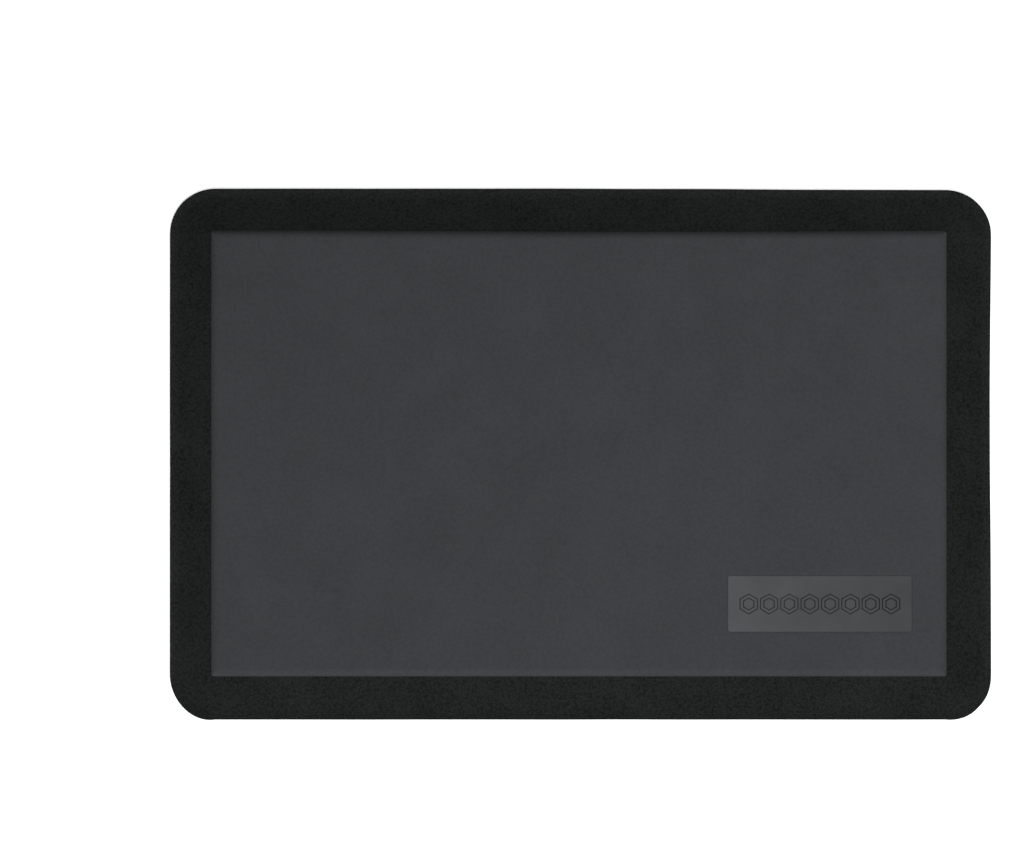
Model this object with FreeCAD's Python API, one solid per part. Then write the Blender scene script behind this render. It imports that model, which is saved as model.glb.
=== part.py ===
import FreeCAD, Part
import math
import os

# Anti-fatigue standing mat, in millimetres. +Z is up, +X runs along the mat and +Y across it. The origin is on the
# floor, under the middle of the mat. The body's outline is cut into a tread panel, a bevelled border, a label plate,
# two foam layers and a base sheet, so neighbouring pieces meet face to face.

Vector = FreeCAD.Vector
INCH = 25.4
CUT_MARGIN = 1.0  # how far a cutting shape runs past what it cuts

# Overall size
LENGTH = 34 * INCH
WIDTH = 22 * INCH
THICKNESS = 0.75 * INCH
CORNER_RADIUS = 48.0

# Edge section, from the rim inwards. Slopes are in degrees from level.
RIM_HEIGHT = 3.3
RIM_TOP_ROUND = 1.5
RIM_FOOT_ROUND = 0.8
LIP_SLOPE = 3.0  # the nearly flat lip just inside the rim
LIP_WIDTH = 18.0
BEVEL_START_SLOPE = 14.5  # where the lip has turned up into the bevel
BEVEL_END_SLOPE = 19.0  # at the crease
BEVEL_WIDTH = 44.8  # from the rim to the crease, where the tread panel starts
PANEL_EDGE_SLOPE = 55.0  # the panel's flank, which rises from the crease
PANEL_FLANK_RUN = 0.7  # how far in the flank runs before it rolls over to level

# Layers, from the floor up
BASE_THICKNESS = 2.0
BASE_INSET = 9.0
SUPPORT_TOP = 7.5
SKIN_THICKNESS = 2.0
FOAM_INSET = 12.0
PANEL_THICKNESS = 6.5
FLANGE_WIDTH = 10.0
FLANGE_THICKNESS = 2.0
FLANGE_CORNER_RADIUS = 3.0

# Anti-slip cells moulded into the underside
CELL_FLATS = 30.0
CELL_WALL = 5.0
CELL_DEPTH = 0.8
CELL_MARGIN = 14.0

# Label plate, set into the tread panel near the right front corner
LABEL_LENGTH = 193.8
LABEL_WIDTH = 59.0
LABEL_THICKNESS = 1.2
LABEL_RADIUS = 2.0
LABEL_CHAMFER = 0.3
LABEL_RECESS = 0.3
LABEL_EDGE_GAP_X = 37.4  # from the label's right side to the crease
LABEL_EDGE_GAP_Y = 47.0  # from the label's front side to the crease

# Row of hexagon rings grooved into the label plate
RING_COUNT = 8
RING_HEIGHT = 21.0
RING_BAND = 4.2
RING_PITCH = 21.4
GROOVE_WIDTH = 1.5
GROOVE_DEPTH = 0.7

# Heights that follow from the layers
PANEL_BOTTOM = THICKNESS - PANEL_THICKNESS
FLANGE_BOTTOM = PANEL_BOTTOM - FLANGE_THICKNESS
LABEL_TOP = THICKNESS - LABEL_RECESS
LABEL_BOTTOM = LABEL_TOP - LABEL_THICKNESS
LABEL_X = LENGTH / 2 - BEVEL_WIDTH - LABEL_EDGE_GAP_X - LABEL_LENGTH / 2
LABEL_Y = -(WIDTH / 2 - BEVEL_WIDTH - LABEL_EDGE_GAP_Y - LABEL_WIDTH / 2)


def bend(start, from_slope, to_slope, radius):
    """An arc in the section plane whose slope turns from one angle to another; a negative radius is convex.
    Returns the edge and its end as (inset, height)."""

    def point(slope):
        begin, now = math.radians(from_slope), math.radians(slope)
        inset = start[0] + radius * (math.sin(now) - math.sin(begin))
        height = start[1] + radius * (math.cos(begin) - math.cos(now))
        return Vector(inset, 0, height)

    middle = (from_slope + to_slope) / 2
    end = point(to_slope)
    return Part.Arc(point(from_slope), point(middle), end).toShape(), (end.x, end.z)


def hollow(start, from_slope, to_slope, end_inset):
    """A concave bend that steepens from one slope to another by the time it reaches the given inset."""
    radius = (end_inset - start[0]) / (sine(to_slope) - sine(from_slope))
    return bend(start, from_slope, to_slope, radius)


def sine(degrees):
    return math.sin(math.radians(degrees))


def cosine(degrees):
    return math.cos(math.radians(degrees))


def line(start, end):
    return Part.makeLine(Vector(start[0], 0, start[1]), Vector(end[0], 0, end[1]))


def edge_section(depth):
    """The mat's section as a face in the XZ plane: X is the inset from the rim and the section is depth wide."""
    foot, foot_end = bend((RIM_FOOT_ROUND, 0), 180, 90, -RIM_FOOT_ROUND)
    rim_start = (0, RIM_HEIGHT - RIM_TOP_ROUND)
    rim, rim_end = bend(rim_start, 90, LIP_SLOPE, -RIM_TOP_ROUND)
    lip, lip_end = hollow(rim_end, LIP_SLOPE, BEVEL_START_SLOPE, LIP_WIDTH)
    bevel, crease = hollow(lip_end, BEVEL_START_SLOPE, BEVEL_END_SLOPE, BEVEL_WIDTH)
    flank_rise = PANEL_FLANK_RUN * sine(PANEL_EDGE_SLOPE) / cosine(PANEL_EDGE_SLOPE)
    flank_end = (crease[0] + PANEL_FLANK_RUN, crease[1] + flank_rise)
    roll_radius = (THICKNESS - flank_end[1]) / (1 - cosine(PANEL_EDGE_SLOPE))
    roll, roll_end = bend(flank_end, PANEL_EDGE_SLOPE, 0, -roll_radius)
    edges = [foot, line(foot_end, rim_start), rim, lip, bevel, line(crease, flank_end), roll]
    edges.append(line(roll_end, (depth, THICKNESS)))
    edges.append(line((depth, THICKNESS), (depth, 0)))
    edges.append(line((depth, 0), (RIM_FOOT_ROUND, 0)))
    return Part.Face(Part.Wire(edges))


def ridge(length, width):
    """A bar of full length whose two long sides carry the edge section, centred on the origin, along X."""
    half = edge_section(width / 2)
    half.rotate(Vector(), Vector(0, 0, 1), 90)
    half.translate(Vector(-length / 2, -width / 2, 0))
    near = half.extrude(Vector(length, 0, 0))
    far = near.mirror(Vector(), Vector(0, 1, 0))
    return near.fuse(far).removeSplitter()


def each_corner():
    """The four corner centres with the angle at which each quarter turn starts."""
    x, y = LENGTH / 2 - CORNER_RADIUS, WIDTH / 2 - CORNER_RADIUS
    return [(x, y, 0), (-x, y, 90), (-x, -y, 180), (x, -y, 270)]


def corner_sector(x, y, start):
    """A quarter turn of the edge section about a corner's centre."""
    corner_low = Vector(0, -CUT_MARGIN, -CUT_MARGIN)
    keep = Part.makeBox(CORNER_RADIUS, 2 * CUT_MARGIN, THICKNESS + 2 * CUT_MARGIN, corner_low)
    section = edge_section(CORNER_RADIUS * 2).common(keep)
    section.translate(Vector(-CORNER_RADIUS, 0, 0))
    section.rotate(Vector(), Vector(0, 0, 1), 180 + start)
    sector = section.Faces[0].revolve(Vector(), Vector(0, 0, 1), 90)
    sector.translate(Vector(x, y, 0))
    return sector


def mat_body():
    """The whole mat as one solid: two crossed ridges, with each square corner replaced by a rounded sector."""
    across = ridge(WIDTH, LENGTH)
    across.rotate(Vector(), Vector(0, 0, 1), 90)
    body = ridge(LENGTH, WIDTH).common(across)
    side = CORNER_RADIUS + CUT_MARGIN
    for x, y, start in each_corner():
        square = Part.makeBox(side, side, THICKNESS + 2 * CUT_MARGIN, Vector(0, 0, -CUT_MARGIN))
        square.rotate(Vector(), Vector(0, 0, 1), start)
        square.translate(Vector(x, y, 0))
        body = body.cut(square)
        body = body.fuse(corner_sector(x, y, start))
    return body.removeSplitter()


def rounded_slab(length, width, radius, bottom, top):
    """A flat slab with rounded corners, centred on the Z axis."""
    slab = Part.makeBox(length, width, top - bottom, Vector(-length / 2, -width / 2, bottom))
    upright = [e for e in slab.Edges if abs(e.tangentAt(e.FirstParameter).z) > 0.9]
    return slab.makeFillet(radius, upright)


def inset_slab(inset, bottom, top):
    """A slab whose outline lies inside the mat's outline by the inset all round."""
    radius = max(CORNER_RADIUS - inset, FLANGE_CORNER_RADIUS)
    return rounded_slab(LENGTH - 2 * inset, WIDTH - 2 * inset, radius, bottom, top)


def hexagon(flats, x, y):
    """A hexagon wire with two upright sides, flats wide across them."""
    reach = flats / math.sqrt(3)
    corners = [
        Vector(x + reach * sine(60 * i), y + reach * cosine(60 * i), 0) for i in range(7)
    ]
    return Part.makePolygon(corners)


def cell_centres():
    """Centres of the underside's honeycomb, placed so that a wall passes under the origin."""
    pitch = CELL_FLATS + CELL_WALL
    row_height = pitch * math.sqrt(3) / 2
    reach_x = LENGTH / 2 - BASE_INSET - CELL_MARGIN - CELL_FLATS / 2
    reach_y = WIDTH / 2 - BASE_INSET - CELL_MARGIN - CELL_FLATS / math.sqrt(3)
    rows, columns = int(reach_y / row_height), int(reach_x / pitch) + 1
    corner = CORNER_RADIUS - BASE_INSET - CELL_MARGIN
    centres = []
    for row in range(-rows, rows + 1):
        y = row * row_height
        for column in range(-columns, columns + 1):
            x = (column + (row % 2 + 1) / 2) * pitch
            past_x = max(abs(x) - reach_x + corner, 0)
            past_y = max(abs(y) - reach_y + corner, 0)
            if math.hypot(past_x, past_y) <= corner:
                centres.append((x, y))
    return centres


def make_base_sheet():
    """Anti-slip sheet with honeycomb cells sunk into its underside."""
    backing = inset_slab(BASE_INSET, CELL_DEPTH, BASE_THICKNESS)
    outline = min(backing.Faces, key=lambda face: face.CenterOfMass.z).OuterWire
    outline.translate(Vector(0, 0, -CELL_DEPTH))
    cells = [hexagon(CELL_FLATS, x, y) for x, y in cell_centres()]
    web = Part.makeFace([outline] + cells, "Part::FaceMakerBullseye")
    return web.extrude(Vector(0, 0, CELL_DEPTH)).fuse(backing).removeSplitter()


def make_label_pocket():
    pocket = rounded_slab(LABEL_LENGTH, LABEL_WIDTH, LABEL_RADIUS, LABEL_BOTTOM, THICKNESS + CUT_MARGIN)
    pocket.translate(Vector(LABEL_X, LABEL_Y, 0))
    return pocket


def hexagon_groove(height, x):
    """A groove that follows a hexagon of the given height from point to point."""
    flats = height * math.sqrt(3) / 2
    outer = Part.Face(hexagon(flats + GROOVE_WIDTH, x, 0))
    inner = Part.Face(hexagon(flats - GROOVE_WIDTH, x, 0))
    groove = outer.cut(inner).extrude(Vector(0, 0, GROOVE_DEPTH * 2))
    groove.translate(Vector(0, 0, LABEL_TOP - GROOVE_DEPTH))
    return groove


def make_label_plate():
    """Smooth plate with a chamfered top edge and a row of grooved hexagon rings."""
    plate = rounded_slab(LABEL_LENGTH, LABEL_WIDTH, LABEL_RADIUS, LABEL_BOTTOM, LABEL_TOP)
    top_edges = [e for e in plate.Edges if e.BoundBox.ZMin > LABEL_TOP - 0.01]
    plate = plate.makeChamfer(LABEL_CHAMFER, top_edges)
    for ring in range(RING_COUNT):
        x = (ring - (RING_COUNT - 1) / 2) * RING_PITCH
        plate = plate.cut(hexagon_groove(RING_HEIGHT, x))
        plate = plate.cut(hexagon_groove(RING_HEIGHT - 2 * RING_BAND, x))
    plate.translate(Vector(LABEL_X, LABEL_Y, 0))
    return plate


def make_foam_layers(body):
    """The two foam layers that fill the space under the skins."""
    under_skin = body.copy()
    under_skin.translate(Vector(0, 0, -SKIN_THICKNESS))
    support = under_skin.common(inset_slab(FOAM_INSET, BASE_THICKNESS, SUPPORT_TOP))
    comfort = under_skin.common(inset_slab(FOAM_INSET, SUPPORT_TOP, FLANGE_BOTTOM))
    raised = inset_slab(BEVEL_WIDTH + FLANGE_WIDTH, FLANGE_BOTTOM, PANEL_BOTTOM)
    return support, comfort.fuse(raised).removeSplitter()


def make_parts():
    body = mat_body()
    panel_block = inset_slab(BEVEL_WIDTH, PANEL_BOTTOM, THICKNESS + CUT_MARGIN)
    support, comfort = make_foam_layers(body)
    border = body.cut(panel_block)
    for inside in (support, comfort, inset_slab(BASE_INSET, -CUT_MARGIN, BASE_THICKNESS)):
        border = border.cut(inside)
    return {
        "base_sheet": make_base_sheet(),
        "support_foam": support,
        "comfort_foam": comfort,
        "bevel_border": border,
        "centre_panel": body.common(panel_block).cut(make_label_pocket()),
        "label_plate": make_label_plate(),
    }


def export(parts):
    os.makedirs("parts", exist_ok=True)
    for name, shape in parts.items():
        solids = shape.Solids
        print(name, len(solids), "solid,", round(shape.Volume / 1000, 1), "cm3, valid", shape.isValid())
        whole = solids[0] if len(solids) == 1 else Part.makeCompound(solids)
        whole.exportStep(f"parts/{name}.step")


export(make_parts())
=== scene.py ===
import math

import bmesh
import bpy
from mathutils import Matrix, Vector, noise


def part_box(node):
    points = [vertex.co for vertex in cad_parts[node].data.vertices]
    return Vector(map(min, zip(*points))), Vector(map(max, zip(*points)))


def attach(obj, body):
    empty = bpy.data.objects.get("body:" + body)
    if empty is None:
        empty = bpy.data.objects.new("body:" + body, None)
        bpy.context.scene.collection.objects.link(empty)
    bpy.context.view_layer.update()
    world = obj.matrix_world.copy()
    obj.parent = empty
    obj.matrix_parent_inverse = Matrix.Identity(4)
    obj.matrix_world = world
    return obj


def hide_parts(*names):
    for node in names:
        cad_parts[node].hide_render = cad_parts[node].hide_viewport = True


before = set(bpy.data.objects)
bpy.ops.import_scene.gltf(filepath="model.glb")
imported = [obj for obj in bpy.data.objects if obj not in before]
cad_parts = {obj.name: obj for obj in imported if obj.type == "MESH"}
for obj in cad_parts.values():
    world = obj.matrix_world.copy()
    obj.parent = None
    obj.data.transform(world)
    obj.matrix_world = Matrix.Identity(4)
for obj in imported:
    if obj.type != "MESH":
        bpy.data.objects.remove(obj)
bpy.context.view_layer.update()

# An anti-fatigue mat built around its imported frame, in the frame's axes: +X along the mat, +Y across it, and
# +Z up from the floor. The mat's lengths are in millimetres, and MM turns them into Blender's metres. The
# stage is in metres.

MM = 0.001
BODY = "root"

# Edge section, as in the frame's design. Slopes are in degrees from level, and insets run in from the outline
CORNER_RADIUS = 48.0
RIM_HEIGHT = 3.3
RIM_TOP_ROUND = 1.5
RIM_FOOT_ROUND = 0.8
LIP_SLOPE = 3.0
LIP_WIDTH = 18.0
BEVEL_START_SLOPE = 14.5  # where the lip has turned up into the bevel
BEVEL_END_SLOPE = 19.0  # at the crease, where the tread panel starts
PANEL_EDGE_SLOPE = 55.0
PANEL_FLANK_RUN = 0.7  # how far in the panel's straight flank runs
SKIN_THICKNESS = 2.0
FLANGE_WIDTH = 10.0
FLANGE_THICKNESS = 2.0
FOAM_EDGE_RUN = 1.0  # how far the foam layers' slanted edges run
BASE_EDGE_RUN = 0.3
LEVEL_INSET = 58.0  # of the level tread's grid, a little inside the roll
PARTING_GAP = 0.05  # between a piece and its neighbour
PARTING_ROUND = 0.25  # on the border's edge at the crease

# Underside cells
CELL_FLATS = 30.0
CELL_WALL = 5.0
CELL_PITCH = CELL_FLATS + CELL_WALL
CELL_DEPTH = 0.8
CELL_MARGIN = 14.0

# Cell section from its rounded mouth up: how much wider it is than the cell's flats, and how deep
CELL_SECTION = ((0.5, 0), (-0.1, 0.12), (-0.9, CELL_DEPTH - 0.12), (-1.5, CELL_DEPTH))

# Label plate, with a row of hexagon rings: a groove along each ring's outside and inside
LABEL_RADIUS = 2.0
LABEL_ROUND = 0.4
RING_COUNT = 8
RING_HEIGHT = 21.0
RING_BAND = 4.2
RING_PITCH = 21.4
GROOVE_WIDTH = 1.5
GROOVE_DEPTH = 0.7

# Groove section from its outer shoulder to its inner one: half widths off its middle, and shares of its depth
GROOVE_SECTION = (
    (1.6, 0), (1.15, 0), (0.85, -0.16), (0.45, -0.86),
    (0, -1),
    (-0.45, -0.86), (-0.85, -0.16), (-1.15, 0), (-1.6, 0),
)

# Pocket wall from its rounded rim down: how far out from the plate, and how far below the tread
POCKET_WALL = ((0.35, 0), (0.22, 0.03), (0.12, 0.12), (0.1, 0.3))
POCKET_CLEARANCE = 0.1
POCKET_OPENING = 4.0  # how far round the plate the tread's grid stays open, for finer faces

# Mesh fineness: steps along X and Y between the corners, and steps round a corner
FINE = (154, 94, 16)
COARSE = (38, 23, 8)
LABEL_STEPS = (24, 8, 6)
WELD_DISTANCE = 0.001


def box_mm(node):
    """A node's lowest and highest corners in millimetres."""
    low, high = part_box(node)
    return Vector(low) / MM, Vector(high) / MM


_, BORDER_HIGH = box_mm("bevel_border")
PANEL_LOW, PANEL_HIGH = box_mm("centre_panel")
LABEL_LOW, LABEL_HIGH = box_mm("label_plate")
_, BASE_HIGH = box_mm("base_sheet")
SUPPORT_LOW, SUPPORT_HIGH = box_mm("support_foam")
COMFORT_LOW, COMFORT_HIGH = box_mm("comfort_foam")

HALF_LENGTH = BORDER_HIGH.x
HALF_WIDTH = BORDER_HIGH.y
TOP = PANEL_HIGH.z
BEVEL_WIDTH = BORDER_HIGH.x - PANEL_HIGH.x
BASE_INSET = BORDER_HIGH.x - BASE_HIGH.x
FOAM_INSET = BORDER_HIGH.x - SUPPORT_HIGH.x
FLANGE_TOP = PANEL_LOW.z
FLANGE_BOTTOM = FLANGE_TOP - FLANGE_THICKNESS


# ---------------------------------------------------------------- sections

def sine(degrees):
    return math.sin(math.radians(degrees))


def cosine(degrees):
    return math.cos(math.radians(degrees))


def bend(start, from_slope, to_slope, radius, steps):
    """Section points (inset, height) along an arc whose slope turns from one angle to another, without its
    start. The slope falls with a negative radius, and rises with a positive one."""
    points = []
    for step in range(1, steps + 1):
        slope = from_slope + (to_slope - from_slope) * step / steps
        inset = start[0] + radius * (sine(slope) - sine(from_slope))
        height = start[1] + radius * (cosine(from_slope) - cosine(slope))
        points.append((inset, height))
    return points


def hollow(start, from_slope, to_slope, end_inset, steps):
    """Section points of a concave bend that ends at the given inset."""
    radius = (end_inset - start[0]) / (sine(to_slope) - sine(from_slope))
    return bend(start, from_slope, to_slope, radius, steps)


def outer_skin():
    """Section points of the border's outside, from the floor round the rim and up to the crease."""
    points = [(RIM_FOOT_ROUND, 0)]
    points += bend(points[-1], 180, 90, -RIM_FOOT_ROUND, steps=4)
    points.append((0, RIM_HEIGHT - RIM_TOP_ROUND))
    points += bend(points[-1], 90, LIP_SLOPE, -RIM_TOP_ROUND, steps=7)
    points += hollow(points[-1], LIP_SLOPE, BEVEL_START_SLOPE, LIP_WIDTH, steps=9)
    points += hollow(points[-1], BEVEL_START_SLOPE, BEVEL_END_SLOPE, BEVEL_WIDTH, steps=10)
    return points


def panel_roll(crease):
    """Section points of the tread panel's edge above the crease: a straight flank, then a roll to level."""
    flank_rise = PANEL_FLANK_RUN * sine(PANEL_EDGE_SLOPE) / cosine(PANEL_EDGE_SLOPE)
    flank_end = (crease[0] + PANEL_FLANK_RUN, crease[1] + flank_rise)
    radius = (TOP - flank_end[1]) / (1 - cosine(PANEL_EDGE_SLOPE))
    return [flank_end, *bend(flank_end, PANEL_EDGE_SLOPE, 0, -radius, steps=12)]


# ---------------------------------------------------------------- rings and lofts

def ring(inset, counts):
    """Plan points once round the mat, inside its outline by the inset. Rings with equal counts pair up."""
    reach = max(CORNER_RADIUS, inset)
    x, y = HALF_LENGTH - reach, HALF_WIDTH - reach
    radius = max(CORNER_RADIUS - inset, 0)
    return rounded_loop(x, y, radius, counts)


def rounded_loop(x, y, radius, counts):
    """Plan points round a rectangle with corner centres at (+-x, +-y) and the given corner radius."""
    count_x, count_y, corner_steps = counts
    corners = [(x, y, 0), (-x, y, 90), (-x, -y, 180), (x, -y, 270)]
    runs = [count_x, count_y, count_x, count_y]
    arcs = []
    for centre_x, centre_y, start in corners:
        turn = [start + 90 * step / corner_steps for step in range(corner_steps + 1)]
        arcs.append([(centre_x + radius * cosine(a), centre_y + radius * sine(a)) for a in turn])
    points = []
    for index, arc in enumerate(arcs):
        points += arc
        begin, end = arc[-1], arcs[(index + 1) % 4][0]
        for step in range(1, runs[index]):
            share = step / runs[index]
            points.append((begin[0] + (end[0] - begin[0]) * share, begin[1] + (end[1] - begin[1]) * share))
    return points


def add_ring(bm, plan, height):
    return [bm.verts.new((x, y, height)) for x, y in plan]


def skin_between(bm, lower, upper):
    """Quads between two rings of equal count."""
    for index in range(len(lower)):
        after = (index + 1) % len(lower)
        bm.faces.new((lower[index], lower[after], upper[after], upper[index]))


def loft(bm, section, counts, closed=False):
    """Sweeps a section of (inset, height) points round the mat and returns its rings."""
    rings = [add_ring(bm, ring(inset, counts), height) for inset, height in section]
    for lower, upper in zip(rings, rings[1:]):
        skin_between(bm, lower, upper)
    if closed:
        skin_between(bm, rings[-1], rings[0])
    return rings


def cap(bm, inset, height, counts, leave_out=None):
    """Fills the rectangle inside a ring with square corners with a grid. leave_out(x, y) keeps the cell with
    that centre open."""
    count_x, count_y, _ = counts
    x, y = HALF_LENGTH - inset, HALF_WIDTH - inset
    column = [-x + 2 * x * i / count_x for i in range(count_x + 1)]
    row = [-y + 2 * y * j / count_y for j in range(count_y + 1)]
    grid = [[bm.verts.new((cx, cy, height)) for cy in row] for cx in column]
    for i in range(count_x):
        for j in range(count_y):
            middle = ((column[i] + column[i + 1]) / 2, (row[j] + row[j + 1]) / 2)
            if leave_out and leave_out(*middle):
                continue
            bm.faces.new((grid[i][j], grid[i + 1][j], grid[i + 1][j + 1], grid[i][j + 1]))
    bmesh.ops.delete(bm, geom=[v for line in grid for v in line if not v.link_faces], context="VERTS")


def fill_between(bm, *loops):
    """Triangles over the flat regions bounded by the given loops of edges."""
    edges = [edge for loop in loops for edge in loop]
    bmesh.ops.triangle_fill(bm, use_beauty=True, use_dissolve=False, edges=edges)


def loop_edges(bm, verts):
    pairs = zip(verts, verts[1:] + verts[:1])
    return [bm.edges.get(pair) or bm.edges.new(pair) for pair in pairs]


def weld(bm):
    bmesh.ops.remove_doubles(bm, verts=bm.verts, dist=WELD_DISTANCE)


def open_edges(bm, height):
    """The edges at a height that still lack a face on one side."""
    open_ones = [e for e in bm.edges if len(e.link_faces) == 1]
    return [e for e in open_ones if all(abs(v.co.z - height) < WELD_DISTANCE for v in e.verts)]


# ---------------------------------------------------------------- settling

WAVE = 90.0  # length of the slow waves in edges and levels
EDGE_WAVE = 0.22
EDGE_WAVE_INSIDE = 0.3  # the share of it that reaches the tread
LEVEL_WAVE = 0.12
END_ROW, SIDE_ROW, LEVEL_ROW = 3.7, 9.1, 5.3  # where the noise is read, so that the waves differ
RIGHT_BOW = 1.4  # how far the right side draws in, from its middle to its ends
RIGHT_BOW_MIDDLE = 0.15  # its middle, in half widths to the back
RIGHT_BOW_REACH = 0.8  # in half widths
BACK_TAPER = 1.3  # how far the back right end has drawn in
BACK_TAPER_SPAN = (-0.05, 0.85)  # where the taper starts and where it is full, in half lengths
TREAD_BOW = 1.35  # how far the tread's back edge has drawn in
TREAD_BOW_MIDDLE = 0.22  # its middle, in half lengths to the right
TREAD_BOW_REACH = 0.94  # in half lengths
TREAD_BOW_RISE = 0.8  # how far in from its reach the bow is full
LEFT_SPREAD = (1.6, 2.2)  # how far the front left corner has spread, and how much more so at its front
RIGHT_SPREAD = (2.1, 1.3)  # the same for the front right corner
PANEL_DRIFT = (-1.5, 0.85)  # how far off centre the tread panel lies
PANEL_SHRINK = (0.65, 0.28)  # how far its ends and its sides have drawn in, at the outline
LABEL_DRIFT = 0.85  # how far right of its place the label plate lies in the panel


def smooth(low, high, value):
    """Rises from 0 at low to 1 at high, and levels out at both ends."""
    share = min(max((value - low) / (high - low), 0.0), 1.0)
    return share * share * (3 - 2 * share)


def corner_spread(x, y):
    """How far a point has moved outwards with the corner it is in. Only the two front corners have spread."""
    out_x = abs(x) - (HALF_LENGTH - CORNER_RADIUS)
    out_y = -y - (HALF_WIDTH - CORNER_RADIUS)
    if out_x <= 0 or out_y <= 0:
        return 0.0, 0.0
    amount, skew = LEFT_SPREAD if x < 0 else RIGHT_SPREAD
    turn = math.degrees(math.atan2(out_y, out_x)) / 90
    reach = math.hypot(out_x, out_y)
    spread = amount * sine(180 * turn ** skew) * smooth(0, CORNER_RADIUS, reach)
    return math.copysign(out_x / reach * spread, x), -out_y / reach * spread


def right_bow(x, y):
    """How far the right side has drawn in at its middle, or out at its ends."""
    off_middle = abs(y - HALF_WIDTH * RIGHT_BOW_MIDDLE)
    drawn = RIGHT_BOW * (0.5 - smooth(0, HALF_WIDTH * RIGHT_BOW_REACH, off_middle))
    return drawn * smooth(0.5, 1, x / HALF_LENGTH)


def back_taper(x, y):
    """How far the back edge has drawn in towards its right end."""
    start, full = (HALF_LENGTH * share for share in BACK_TAPER_SPAN)
    return BACK_TAPER * smooth(start, full, x) * smooth(0, 1, y / HALF_WIDTH)


def tread_bow(x, y):
    """How far the tread's back edge has drawn in."""
    reached = TREAD_BOW_REACH - abs(x / HALF_LENGTH - TREAD_BOW_MIDDLE)
    return TREAD_BOW * smooth(0, TREAD_BOW_RISE, reached) * smooth(0, 1, y / HALF_WIDTH)


def settle(point):
    """Moves a point as the soft mat has settled. All pieces share it, so neighbours still fit."""
    x, y, z = point
    spread_x, spread_y = corner_spread(x, y)
    side_x, side_y = HALF_LENGTH - abs(x), HALF_WIDTH - abs(y)
    outward = 1 - smooth(0, BEVEL_WIDTH, min(side_x, side_y))
    near_x = 1 - smooth(0, BEVEL_WIDTH * 2, side_x)
    near_y = 1 - smooth(0, BEVEL_WIDTH * 2, side_y)

    edge = EDGE_WAVE * (EDGE_WAVE_INSIDE + (1 - EDGE_WAVE_INSIDE) * outward)
    wave_x = noise.noise(Vector((0.0, y / WAVE, math.copysign(END_ROW, x))))
    wave_y = noise.noise(Vector((x / WAVE, 0.0, math.copysign(SIDE_ROW, y))))
    bow, taper = right_bow(x, y), back_taper(x, y)
    x += (edge * wave_x - outward * bow) * near_x
    y += (edge * wave_y - outward * taper) * near_y

    drift_x = PANEL_DRIFT[0] - PANEL_SHRINK[0] * x / HALF_LENGTH
    drift_y = PANEL_DRIFT[1] - PANEL_SHRINK[1] * y / HALF_WIDTH - tread_bow(x, y)
    x += spread_x + drift_x * (1 - outward)
    y += spread_y + drift_y * (1 - outward)
    z += LEVEL_WAVE * noise.noise(Vector((x / WAVE, y / WAVE, LEVEL_ROW))) * min(z / TOP, 1)
    return Vector((x, y, z))


# ---------------------------------------------------------------- pieces

def finish_piece(bm, name, slot, material, *nodes, smooth_angle=40):
    """Turns a bmesh in millimetres into a piece that rides on the mat and stands for its CAD nodes. Edges
    that turn by less than the smooth angle shade as round."""
    weld(bm)
    for vert in bm.verts:
        vert.co = settle(vert.co) * MM
    bmesh.ops.recalc_face_normals(bm, faces=bm.faces)
    for edge in bm.edges:
        edge.smooth = len(edge.link_faces) == 2 and edge.calc_face_angle(0) < math.radians(smooth_angle)
    for face in bm.faces:
        face.smooth = True
    mesh = bpy.data.meshes.new(name)
    bm.to_mesh(mesh)
    bm.free()
    mesh.materials.append(material)
    piece = bpy.data.objects.new(name, mesh)
    bpy.context.scene.collection.objects.link(piece)
    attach(piece, BODY)
    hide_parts(*nodes)
    return piece


def make_border(material):
    """The bevelled border: a solid rim, a thin skin over the foam and a flange under the tread panel."""
    edge = BEVEL_WIDTH - PARTING_GAP
    outside = outer_skin()
    outside[-1] = (edge - PARTING_ROUND, outside[-1][1] - PARTING_ROUND * sine(BEVEL_END_SLOPE))
    turn = [(edge, outside[-1][1] - PARTING_ROUND)]
    flange = [
        (edge, FLANGE_TOP - PARTING_GAP),
        (BEVEL_WIDTH + FLANGE_WIDTH, FLANGE_TOP - PARTING_GAP),
        (BEVEL_WIDTH + FLANGE_WIDTH, FLANGE_BOTTOM),
    ]
    lined = [(d, z - SKIN_THICKNESS) for d, z in reversed(outside) if d > FOAM_INSET]
    inside = [(d, z) for d, z in lined if z < FLANGE_BOTTOM]
    foot = [
        (FOAM_INSET, BASE_HIGH.z),
        (BASE_INSET - PARTING_GAP, BASE_HIGH.z),
        (BASE_INSET - PARTING_GAP, 0),
    ]
    bm = bmesh.new()
    loft(bm, outside + turn + flange + inside + foot, FINE, closed=True)
    return finish_piece(bm, "bevel_border_skin", "border_black", material, "bevel_border")


def over_label(x, y, margin):
    """Whether a plan point is over the label plate or within a margin of it."""
    in_x = LABEL_LOW.x - margin < x < LABEL_HIGH.x + margin
    return in_x and LABEL_LOW.y - margin < y < LABEL_HIGH.y + margin


def label_middle():
    middle = (LABEL_LOW + LABEL_HIGH) / 2
    return Vector((middle.x + LABEL_DRIFT, middle.y))


def label_loop(grow, height):
    """Points round the label plate's outline, grown by an amount, at a height."""
    middle = label_middle()
    x = (LABEL_HIGH.x - LABEL_LOW.x) / 2 - LABEL_RADIUS
    y = (LABEL_HIGH.y - LABEL_LOW.y) / 2 - LABEL_RADIUS
    plan = rounded_loop(x, y, LABEL_RADIUS + grow, LABEL_STEPS)
    return [(middle.x + px, middle.y + py, height) for px, py in plan]


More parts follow.
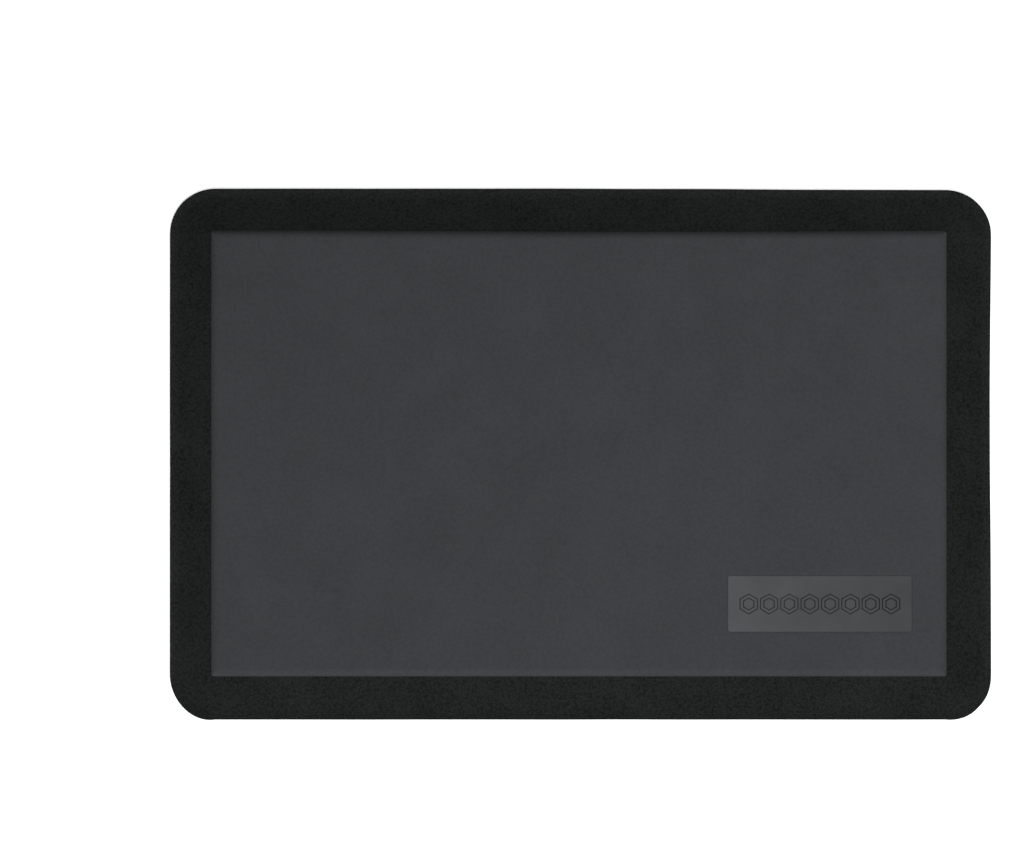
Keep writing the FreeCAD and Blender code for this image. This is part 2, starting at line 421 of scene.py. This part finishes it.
def make_panel(material):
    """The tread panel: rolled edges, a level top and a pocket for the label plate."""
    crease = outer_skin()[-1]
    edge = BEVEL_WIDTH + PARTING_GAP
    start = (edge, crease[1] - PARTING_ROUND)
    rolled = panel_roll((edge, crease[1]))
    bottom = (edge, PANEL_LOW.z)
    under = (BEVEL_WIDTH + FLANGE_WIDTH, PANEL_LOW.z)
    bm = bmesh.new()
    loft(bm, [under, bottom, start, crease, *rolled, (LEVEL_INSET, TOP)], FINE)
    cap(bm, LEVEL_INSET, TOP, FINE, lambda x, y: over_label(x, y, POCKET_OPENING))
    weld(bm)
    fill_between(bm, open_edges(bm, PANEL_LOW.z))
    pocket = [(grow, TOP - deep) for grow, deep in POCKET_WALL] + [(POCKET_CLEARANCE, LABEL_LOW.z)]
    loops = [[bm.verts.new(point) for point in label_loop(grow, height)] for grow, height in pocket]
    for upper, lower in zip(loops, loops[1:]):
        skin_between(bm, upper, lower)
    fill_between(bm, open_edges(bm, TOP))
    fill_between(bm, open_edges(bm, LABEL_LOW.z))
    return finish_piece(bm, "tread_panel_skin", "panel_grey", material, "centre_panel", smooth_angle=30)


def hexagon(flats, x, y, height):
    """Corner points of a hexagon with two sides along Y, from its width across flats."""
    reach = flats / math.sqrt(3)
    return [(x + reach * sine(60 * i), y + reach * cosine(60 * i), height) for i in range(6)]


def add_groove(bm, height, x, y, top):
    """A groove along a hexagon of the given height. Returns its outer and its inner edge, as vertices."""
    flats = height * math.sqrt(3) / 2
    rails = []
    for across, deep in GROOVE_SECTION:
        corners = hexagon(flats + across * GROOVE_WIDTH, x, y, top + deep * GROOVE_DEPTH)
        rails.append([bm.verts.new(corner) for corner in corners])
    for outer, inner in zip(rails, rails[1:]):
        skin_between(bm, outer, inner)
    return rails[0], rails[-1]


def make_label(material):
    """The label plate, with a rounded top edge and hexagon rings grooved into it."""
    middle = label_middle()
    top = LABEL_HIGH.z
    bm = bmesh.new()
    edge = [(0, LABEL_LOW.z), (0, top - LABEL_ROUND)]
    for turn in (22.5, 45, 67.5, 90):
        edge.append((-LABEL_ROUND * (1 - cosine(turn)), top - LABEL_ROUND * (1 - sine(turn))))
    edge.append((-LABEL_ROUND * 2, top))
    loops = [[bm.verts.new(point) for point in label_loop(grow, height)] for grow, height in edge]
    for lower, upper in zip(loops, loops[1:]):
        skin_between(bm, lower, upper)
    fill_between(bm, loop_edges(bm, loops[0]))
    flat_loops = [loop_edges(bm, loops[-1])]
    for index in range(RING_COUNT):
        x = middle.x + (index - (RING_COUNT - 1) / 2) * RING_PITCH
        outer_rim, band_outside = add_groove(bm, RING_HEIGHT, x, middle.y, top)
        band_inside, inner_rim = add_groove(bm, RING_HEIGHT - 2 * RING_BAND, x, middle.y, top)
        flat_loops.append(loop_edges(bm, outer_rim))
        fill_between(bm, loop_edges(bm, band_outside), loop_edges(bm, band_inside))
        fill_between(bm, loop_edges(bm, inner_rim))
    fill_between(bm, *flat_loops)
    return finish_piece(bm, "label_plate_grooved", "label_satin", material, "label_plate", smooth_angle=70)


def make_foam(name, section, slot, material, node):
    """A closed foam layer: its side section swept round, with level faces above and below."""
    bm = bmesh.new()
    loft(bm, section, COARSE)
    weld(bm)
    for height in (section[0][1], section[-1][1]):
        fill_between(bm, open_edges(bm, height))
    piece = finish_piece(bm, name, slot, material, node)
    return piece


def under_skin(low, high):
    """Section points of the foam's side between two heights."""
    lowered = [(d, z - SKIN_THICKNESS - PARTING_GAP) for d, z in outer_skin()]
    return [(d, z) for d, z in lowered if d > FOAM_INSET and low < z < high]


def make_support_foam(material):
    low, high = SUPPORT_LOW.z + PARTING_GAP, SUPPORT_HIGH.z - PARTING_GAP
    side = under_skin(low, high)
    inner = BEVEL_WIDTH + FLANGE_WIDTH
    foot, shoulder = (FOAM_INSET + FOAM_EDGE_RUN, low), (side[-1][0] + FOAM_EDGE_RUN, high)
    section = [(inner, low), foot, *side, shoulder, (inner, high)]
    return make_foam("support_foam_core", section, "foam_firm", material, "support_foam")


def make_comfort_foam(material):
    low, shelf = COMFORT_LOW.z + PARTING_GAP, FLANGE_BOTTOM - PARTING_GAP
    high = COMFORT_HIGH.z - PARTING_GAP
    side = under_skin(low, shelf)
    inner = BEVEL_WIDTH + FLANGE_WIDTH + PARTING_GAP
    foot = (side[0][0] - FOAM_EDGE_RUN, low)
    section = [(inner, low), foot, *side, (inner, shelf), (inner, high)]
    return make_foam("comfort_foam_core", section, "foam_soft", material, "comfort_foam")


def cell_centres():
    """Centres of the underside's honeycomb, with a wall under the origin."""
    row_height = CELL_PITCH * math.sqrt(3) / 2
    reach_x = HALF_LENGTH - BASE_INSET - CELL_MARGIN - CELL_FLATS / 2
    reach_y = HALF_WIDTH - BASE_INSET - CELL_MARGIN - CELL_FLATS / math.sqrt(3)
    rows, columns = int(reach_y / row_height), int(reach_x / CELL_PITCH) + 1
    corner = CORNER_RADIUS - BASE_INSET - CELL_MARGIN
    centres = []
    for row in range(-rows, rows + 1):
        for column in range(-columns, columns + 1):
            x, y = (column + (row % 2 + 1) / 2) * CELL_PITCH, row * row_height
            past_x = max(abs(x) - reach_x + corner, 0)
            past_y = max(abs(y) - reach_y + corner, 0)
            if math.hypot(past_x, past_y) <= corner:
                centres.append((x, y))
    return centres


def make_base(material):
    """The anti-slip sheet, with rounded honeycomb cells sunk into its underside."""
    steps = [(CELL_PITCH, 0), *((CELL_FLATS + wider, deep) for wider, deep in CELL_SECTION)]
    bm = bmesh.new()
    for x, y in cell_centres():
        loops = [[bm.verts.new(point) for point in hexagon(flats, x, y, z)] for flats, z in steps]
        for outer, inner in zip(loops, loops[1:]):
            skin_between(bm, outer, inner)
        bm.faces.new(loops[-1])
    top = BASE_HIGH.z - PARTING_GAP
    loft(bm, [(BASE_INSET + BASE_EDGE_RUN, 0), (BASE_INSET, BASE_EDGE_RUN), (BASE_INSET, top)], COARSE)
    weld(bm)
    fill_between(bm, open_edges(bm, 0))
    fill_between(bm, open_edges(bm, top))
    return finish_piece(bm, "anti_slip_base", "base_rubber", material, "base_sheet")


# ---------------------------------------------------------------- materials

CLOUD_SPAN = (0.25, 0.75)  # where nearly all values of a slow noise lie
GRAIN_SPAN = (0.3, 0.7)  # and of a fine one
PEBBLE_SPAN = (-0.5, 0.3)  # and of a pebbled height

SKIN_SPECULAR = 0.01
SKIN_CLOUD = 55.0  # size of the skins' cloudiness
FINE_GRAIN = 0.7  # size of the grain on the pebbles, as a share of theirs
FINE_GRAIN_HEIGHT = 0.6

RIM_PAINTED_SHADE = 0.25  # painted shade: brightness of the rim's upright side, darkened to stand for the shade along the outline
RIM_PAINTED_SHADE_SPAN = (0.5, 0.05)  # how far under the rim's top the painted shade ends, and where full brightness starts
LIP_PAINTED_SHEEN = 0.25  # painted highlight: how much paler the lip is made at the rim
LIP_SHEEN_RISE = 1.1  # the height over which that painted highlight fades
FRONT_LIP_SHEEN_SHARE = -0.4  # its share along the front, where it turns into painted shade and is a little darker instead

LABEL_PAINTED_SHEEN = (1.17, 0.82)  # painted sheen: brightness at the plate's left and right ends
LABEL_CLOUD = 28.0
GROOVE_PAINTED_SHADE = 0.12  # painted shade: brightness at the grooves' bottom


class Nodes:
    """A small helper that builds one material's node tree."""

    def __init__(self, name):
        self.material = bpy.data.materials.new(name)
        self.material.use_nodes = True
        self.tree = self.material.node_tree
        self.shader = self.tree.nodes["Principled BSDF"]
        place = self.tree.nodes.new("ShaderNodeTexCoord")
        self.place = place.outputs["Object"]

    def add(self, kind, inputs=None, **settings):
        """A node with settings, whose inputs are numbers, colours or other nodes' outputs."""
        node = self.tree.nodes.new(kind)
        for key, value in settings.items():
            setattr(node, key, value)
        for key, value in (inputs or {}).items():
            self.feed(node.inputs[key], value)
        return node

    def feed(self, socket, value):
        """Links a node's output to the socket, or sets the socket to a constant."""
        if isinstance(value, bpy.types.NodeSocket):
            self.tree.links.new(value, socket)
        else:
            socket.default_value = value

    def math(self, operation, first, second):
        return self.add("ShaderNodeMath", {0: first, 1: second}, operation=operation).outputs[0]

    def noise(self, grain, detail=2.0, roughness=0.5):
        """Noise whose features are about grain millimetres across."""
        inputs = {"Vector": self.place, "Scale": 1 / (grain * MM), "Detail": detail, "Roughness": roughness}
        return self.add("ShaderNodeTexNoise", inputs).outputs["Fac"]

    def cells(self, grain, smoothness=0.6):
        """Rounded pebbles about grain millimetres across: 0 at a pebble's top, rising towards its edge."""
        inputs = {"Vector": self.place, "Scale": 1 / (grain * MM), "Smoothness": smoothness}
        node = self.add("ShaderNodeTexVoronoi", inputs, feature="SMOOTH_F1")
        return node.outputs["Distance"]

    def along(self, axis):
        """Millimetres along one of the mat's axes."""
        split = self.add("ShaderNodeSeparateXYZ", {"Vector": self.place})
        return self.math("DIVIDE", split.outputs[axis], MM)

    def span(self, value, low, high, to_low, to_high):
        """The value, carried from one range to another and held at its ends."""
        inputs = {"Value": value, "From Min": low, "From Max": high, "To Min": to_low, "To Max": to_high}
        return self.add("ShaderNodeMapRange", inputs).outputs["Result"]

    def tint(self, colour, brightness):
        """The colour times a brightness that varies over the surface."""
        inputs = {"Vector": colour, "Scale": brightness}
        return self.add("ShaderNodeVectorMath", inputs, operation="SCALE").outputs["Vector"]

    def bump(self, height, depth):
        """Bump with the height's range of 0 to 1 standing for depth millimetres."""
        inputs = {"Height": height, "Distance": depth * MM, "Strength": 1.0}
        return self.add("ShaderNodeBump", inputs).outputs["Normal"]

    def surface(self, colour, roughness, normal, specular):
        """The finished material."""
        self.feed(self.shader.inputs["Base Color"], colour)
        self.feed(self.shader.inputs["Roughness"], roughness)
        self.feed(self.shader.inputs["Normal"], normal)
        self.shader.inputs["Specular IOR Level"].default_value = specular
        return self.material


def pebbled(nodes, colour, pebble, depth, grain_and_glints, cloudy, roughness, shade=1.0):
    """Moulded polyurethane skin: fine pebbles with a finer grain on them, and a faint cloudiness. Pebble is
    their size and depth the bump's, and speckle and cloudy are shares of the colour's brightness. The speckle
    makes the pebbles' tops paler, partly as the skin's grain and partly as painted glints, and shade scales
    the brightness, where a caller brings in painted shade and highlights."""
    pebbles = nodes.cells(pebble)
    grain = nodes.noise(pebble * FINE_GRAIN, detail=3.0, roughness=0.6)
    height = nodes.math("SUBTRACT", nodes.math("MULTIPLY", grain, FINE_GRAIN_HEIGHT), pebbles)
    cloud = nodes.noise(SKIN_CLOUD, detail=3.0)
    clouded = nodes.span(cloud, *CLOUD_SPAN, 1 - cloudy, 1 + cloudy)
    # the pebbles' tops come out paler: partly the skin's grain, partly painted glints
    grain_and_glints_tone = nodes.math("ADD", clouded, nodes.span(height, *PEBBLE_SPAN, -grain_and_glints, grain_and_glints))
    bright = nodes.math("MULTIPLY", grain_and_glints_tone, shade)
    rough = nodes.span(height, *PEBBLE_SPAN, roughness + 0.07, roughness - 0.05)
    return nodes.surface(nodes.tint(colour, bright), rough, nodes.bump(height, depth), SKIN_SPECULAR)


def border_material():
    """Black skin with painted shade down the rim's side, and a lip made paler by a painted highlight, except
    along the front, where it is darker with painted shade.
    """
    nodes = Nodes("border_black")
    height = nodes.along("Z")
    rim_low, rim_high = (RIM_HEIGHT - under for under in RIM_PAINTED_SHADE_SPAN)
    # painted shade: the rim's upright side is darkened by height to stand for the shade along the outline
    rim_painted_shade = nodes.span(height, rim_low, rim_high, RIM_PAINTED_SHADE, 1.0)
    # painted highlight on the lip at the back and the sides, turning to painted shade along the front
    painted_lip_sheen = nodes.span(height, RIM_HEIGHT, RIM_HEIGHT + LIP_SHEEN_RISE, LIP_PAINTED_SHEEN, 0.0)
    front_low, front_high = LIP_WIDTH - HALF_WIDTH, CORNER_RADIUS - HALF_WIDTH
    share = nodes.span(nodes.along("Y"), front_low, front_high, FRONT_LIP_SHEEN_SHARE, 1.0)
    lip_sheen_and_shade = nodes.math("ADD", nodes.math("MULTIPLY", painted_lip_sheen, share), 1.0)
    return pebbled(
        nodes,
        colour=(0.0126, 0.0142, 0.0136),
        pebble=2.4,
        depth=0.32,
        grain_and_glints=0.37,
        cloudy=0.14,
        roughness=0.62,
        shade=nodes.math("MULTIPLY", rim_painted_shade, lip_sheen_and_shade),
    )


def panel_material():
    return pebbled(
        Nodes("panel_grey"),
        colour=(0.0411, 0.0427, 0.0458),
        pebble=3.1,
        depth=0.08,
        grain_and_glints=0.075,
        cloudy=0.055,
        roughness=0.66,
    )


def label_material():
    """Satin plate, paler to the left with a painted sheen and faintly cloudy, with grooves darkened by painted
    shade.
    """
    nodes = Nodes("label_satin")
    grain = nodes.noise(2.4, detail=2.0)
    cloud = nodes.noise(LABEL_CLOUD, detail=2.0)
    clouded = nodes.span(cloud, *CLOUD_SPAN, 0.9, 1.1)
    # painted sheen: the plate is made paler to the left and darker to the right
    painted_sheen = nodes.span(nodes.along("X"), LABEL_LOW.x, LABEL_HIGH.x, *LABEL_PAINTED_SHEEN)
    top = LABEL_HIGH.z
    # painted shade: the grooves darken with depth, standing for the shade in them
    grooved = nodes.span(nodes.along("Z"), top - GROOVE_DEPTH, top - 0.1, GROOVE_PAINTED_SHADE, 1.0)
    bright = nodes.math("MULTIPLY", nodes.math("MULTIPLY", clouded, painted_sheen), grooved)
    colour = nodes.tint((0.0502, 0.0539, 0.0564), bright)
    rough = nodes.span(grain, *GRAIN_SPAN, 0.52, 0.46)
    return nodes.surface(colour, rough, nodes.bump(grain, depth=0.02), specular=0.12)


def foam_material(name, colour, pore):
    """Cut foam whose open pores are about the given size, darker towards each pore's edge with painted shade.
    """
    nodes = Nodes(name)
    pores = nodes.cells(pore, smoothness=0.2)
    # painted shade: darker towards each cell's edge, where the bump sinks
    bright = nodes.span(pores, 0.0, 0.6, 1.15, 0.7)
    normal = nodes.bump(nodes.math("SUBTRACT", 0.0, pores), depth=0.4)
    return nodes.surface(nodes.tint(colour, bright), roughness=0.9, normal=normal, specular=0.2)


def base_material():
    """Fine-grained black rubber."""
    nodes = Nodes("base_rubber")
    grain = nodes.noise(0.9, detail=3.0, roughness=0.6)
    colour = nodes.tint((0.020, 0.020, 0.021), nodes.span(grain, *GRAIN_SPAN, 0.85, 1.15))
    rough = nodes.span(grain, *GRAIN_SPAN, 0.62, 0.52)
    return nodes.surface(colour, rough, nodes.bump(grain, depth=0.06), specular=0.35)


# ---------------------------------------------------------------- stage, in metres

VIEW_WIDTH = 1.0767  # across the picture, at the mat
VIEW_CENTRE = (-0.07175, 0.0286)
VIEW_END = 50.0
LENS = 300.0  # in millimetres, like the sensor
SENSOR = 36.0

WHITE = (1, 1, 1, 1)
FLOOR_REACH = 12.0
FLOOR_DROP = 0.0002  # how far the floor lies under the mat
FLOOR_COLOUR = (0.9, 0.9, 0.9)
FLOOR_GLOW = 0.5
STUDIO_GLOW = 0.04

# Softboxes: name, watts, place and size
SOFTBOXES = (
    ("front_softbox", 145.4, (0.49, -2.20, 3.01), 2.0),
    ("back_softbox", 12.3, (0.85, 0.61, 1.55), 1.2),
    ("left_softbox", 13.3, (-2.06, -0.55, 1.03), 1.2),
)


def make_camera():
    """Straight above the mat, from far enough away to show no perspective."""
    data = bpy.data.cameras.new("camera")
    data.lens = LENS
    data.sensor_width = SENSOR
    data.clip_end = VIEW_END
    camera = bpy.data.objects.new("camera", data)
    camera.location = (*VIEW_CENTRE, VIEW_WIDTH * LENS / SENSOR + TOP * MM / 2)
    bpy.context.scene.collection.objects.link(camera)
    bpy.context.scene.camera = camera


def make_floor():
    """A white floor that glows, so that it comes out as white as the picture's ground."""
    bm = bmesh.new()
    bmesh.ops.create_grid(bm, x_segments=1, y_segments=1, size=FLOOR_REACH)
    mesh = bpy.data.meshes.new("floor")
    bm.to_mesh(mesh)
    bm.free()
    nodes = Nodes("floor_white")
    grain = nodes.noise(400.0)
    shader = nodes.shader.inputs
    nodes.feed(shader["Base Color"], nodes.tint(FLOOR_COLOUR, nodes.span(grain, 0.0, 1.0, 0.995, 1.005)))
    nodes.feed(shader["Roughness"], 1.0)
    nodes.feed(shader["Specular IOR Level"], 0.0)
    nodes.feed(shader["Emission Color"], WHITE)
    nodes.feed(shader["Emission Strength"], FLOOR_GLOW)
    mesh.materials.append(nodes.material)
    floor = bpy.data.objects.new("floor", mesh)
    floor.location.z = -FLOOR_DROP
    bpy.context.scene.collection.objects.link(floor)


def add_light(name, watts, place, size):
    """A square softbox that faces the mat."""
    data = bpy.data.lights.new(name, "AREA")
    data.shape = "SQUARE"
    data.size = size
    data.energy = watts
    light = bpy.data.objects.new(name, data)
    light.location = place
    light.rotation_mode = "QUATERNION"
    light.rotation_quaternion = Vector(place).to_track_quat("Z", "Y")
    light.visible_camera = False
    bpy.context.scene.collection.objects.link(light)


def make_lights():
    """Soft studio light from three softboxes, and a faint glow all round."""
    world = bpy.data.worlds.new("studio")
    world.use_nodes = True
    background = world.node_tree.nodes["Background"]
    background.inputs["Color"].default_value = WHITE
    background.inputs["Strength"].default_value = STUDIO_GLOW
    bpy.context.scene.world = world
    for softbox in SOFTBOXES:
        add_light(*softbox)


def main():
    bpy.context.scene.view_settings.view_transform = "Standard"
    make_camera()
    make_floor()
    make_lights()
    make_border(border_material())
    make_panel(panel_material())
    make_label(label_material())
    make_comfort_foam(foam_material("foam_soft", colour=(0.12, 0.12, 0.125), pore=1.2))
    make_support_foam(foam_material("foam_firm", colour=(0.07, 0.07, 0.075), pore=0.8))
    make_base(base_material())


main()
